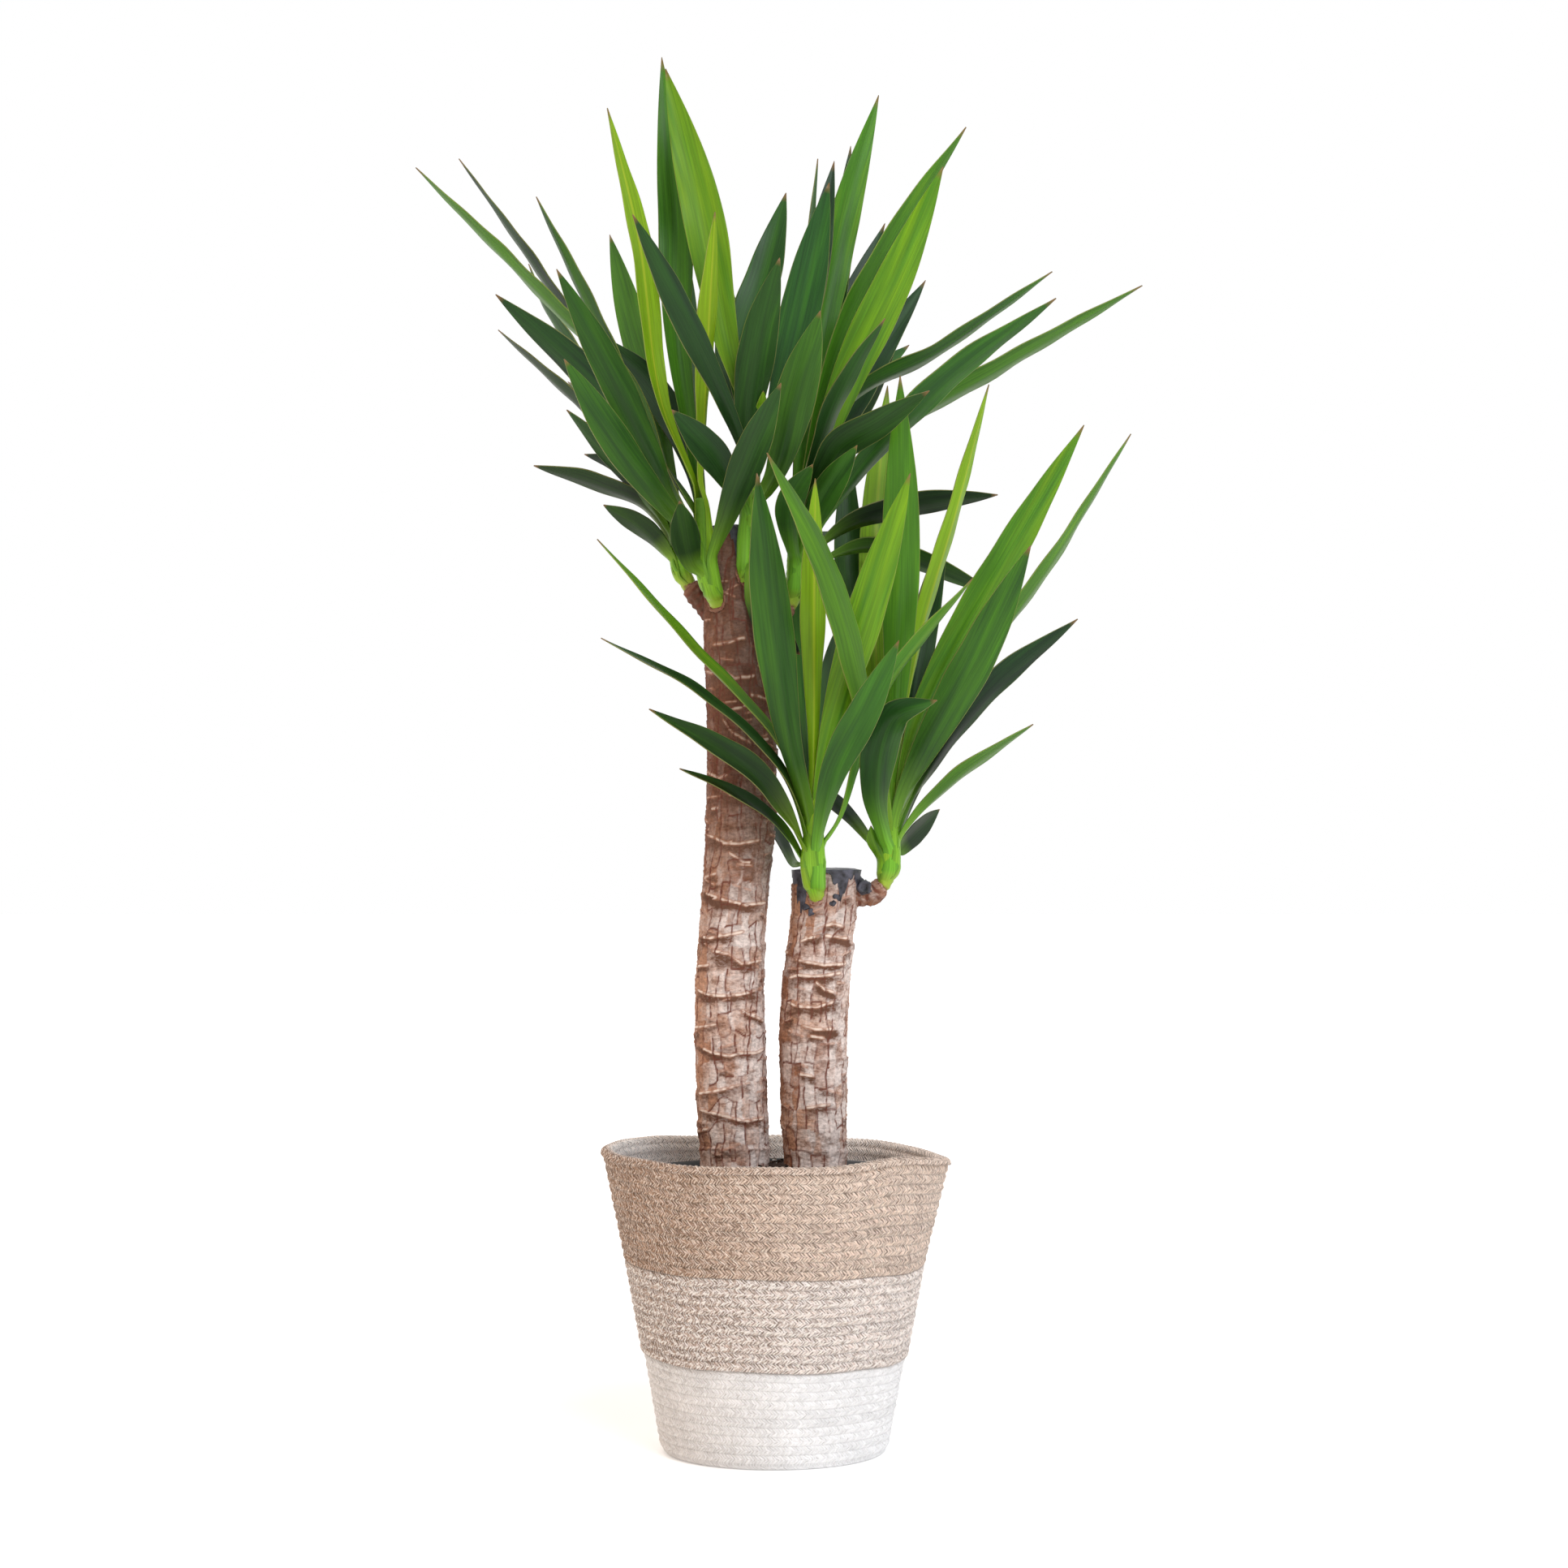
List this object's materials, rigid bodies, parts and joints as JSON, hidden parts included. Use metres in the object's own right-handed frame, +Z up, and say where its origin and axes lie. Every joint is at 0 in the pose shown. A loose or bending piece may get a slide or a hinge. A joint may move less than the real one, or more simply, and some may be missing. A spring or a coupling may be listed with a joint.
{
  "type": "potted yucca",
  "caption": "Indoor yucca with bare ringed canes and sword-leaved shoots, grown in a nursery pot that stands in a round braided basket of white, mixed and natural fibre.",
  "frame": {"origin": "middle of the basket's flat underside, on the surface that it stands on", "axes": "+Z up, the way the plant grows; -Y is the front; +X is the viewer's right, the side of the short cane"},
  "size_m": [0.5909, 0.4807, 1.1054],
  "materials": {
    "white_braid": "matt braided cotton cord",
    "mixed_braid": "matt braid of tan and white strands",
    "natural_braid": "matt braided plant fibre",
    "pot_plastic": "thin black plastic, satin",
    "soil": "loose dark potting soil",
    "bark": "rough bark ringed by leaf scars",
    "wax": "dark sealing wax, dull",
    "leaf": "tough waxy leaf, satin"
  },
  "bodies": {
    "root": {"basket_white_braid": "white_braid", "basket_mixed_braid": "mixed_braid", "basket_natural_braid": "natural_braid", "nursery_pot": "pot_plastic", "potting_soil": "soil", "tall_cane": "bark", "short_cane": "bark", "tall_cane_wax_seal": "wax", "short_cane_wax_seal": "wax", "tall_cane_front_left_shoot": "leaf", "tall_cane_back_left_shoot": "leaf", "tall_cane_front_right_shoot": "leaf", "tall_cane_right_shoot": "leaf", "short_cane_front_shoot": "leaf", "short_cane_right_shoot": "leaf"}
  },
  "joints": []
}
